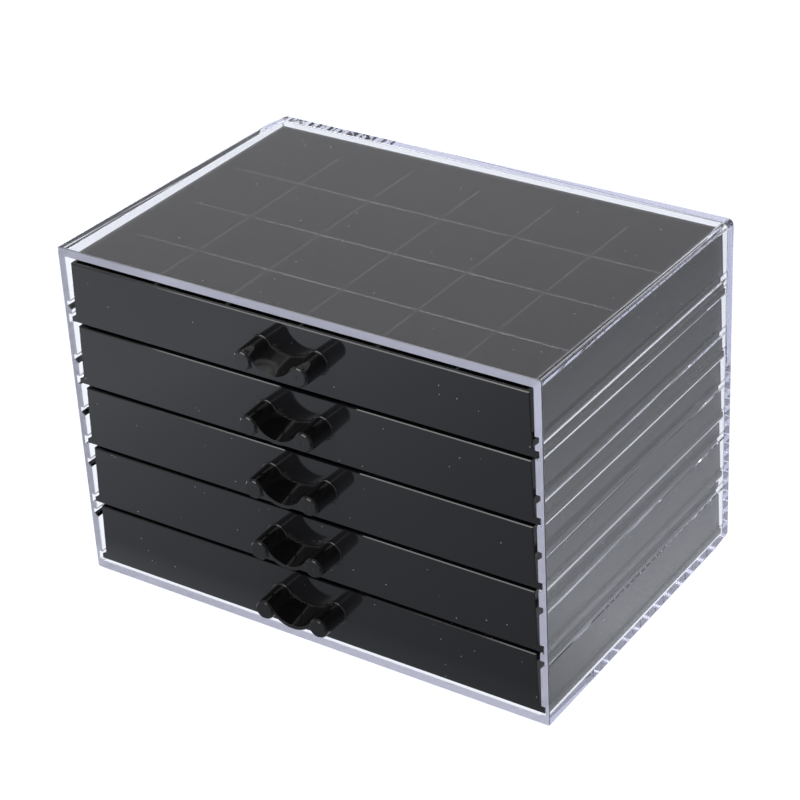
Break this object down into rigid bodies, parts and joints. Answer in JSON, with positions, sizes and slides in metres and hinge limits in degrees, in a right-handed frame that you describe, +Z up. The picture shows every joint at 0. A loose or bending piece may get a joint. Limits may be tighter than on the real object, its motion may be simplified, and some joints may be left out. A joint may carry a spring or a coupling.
{
  "type": "nail polish organizer drawers",
  "caption": "Clear box-shaped case, open at the front, with stacked black drawers that slide out on side grooves; each drawer is split into small square compartments and has a two-bar pull.",
  "frame": {"origin": "middle of the case's flat underside, on the surface that it stands on", "axes": "+X to the right along the front, +Y from the open front to the back, +Z up; drawers slide out along -Y"},
  "size_m": [0.235, 0.1725, 0.1605],
  "materials": {
    "clear_case": "clear moulded polystyrene, polished",
    "black_tray": "black moulded plastic, mirror gloss",
    "black_handle": "black moulded plastic, gloss",
    "black_divider": "black moulded plastic, gloss"
  },
  "bodies": {
    "case": {"case_shell": "clear_case"},
    "drawer_1": {"drawer_1_tray": "black_tray", "drawer_1_handle": "black_handle", "drawer_1_long_dividers": "black_divider", "drawer_1_cross_dividers": "black_divider"},
    "drawer_2": {"drawer_2_tray": "black_tray", "drawer_2_handle": "black_handle", "drawer_2_long_dividers": "black_divider", "drawer_2_cross_dividers": "black_divider"},
    "drawer_3": {"drawer_3_tray": "black_tray", "drawer_3_handle": "black_handle", "drawer_3_long_dividers": "black_divider", "drawer_3_cross_dividers": "black_divider"},
    "drawer_4": {"drawer_4_tray": "black_tray", "drawer_4_handle": "black_handle", "drawer_4_long_dividers": "black_divider", "drawer_4_cross_dividers": "black_divider"},
    "drawer_5": {"drawer_5_tray": "black_tray", "drawer_5_handle": "black_handle", "drawer_5_long_dividers": "black_divider", "drawer_5_cross_dividers": "black_divider"}
  },
  "joints": [
    {"name": "drawer_1_slide", "type": "slide", "parent": "case", "child": "drawer_1", "axis": [0, -1, 0], "range_m": [0, 0.14]},
    {"name": "drawer_2_slide", "type": "slide", "parent": "case", "child": "drawer_2", "axis": [0, -1, 0], "range_m": [0, 0.14]},
    {"name": "drawer_3_slide", "type": "slide", "parent": "case", "child": "drawer_3", "axis": [0, -1, 0], "range_m": [0, 0.14]},
    {"name": "drawer_4_slide", "type": "slide", "parent": "case", "child": "drawer_4", "axis": [0, -1, 0], "range_m": [0, 0.14]},
    {"name": "drawer_5_slide", "type": "slide", "parent": "case", "child": "drawer_5", "axis": [0, -1, 0], "range_m": [0, 0.14]}
  ]
}
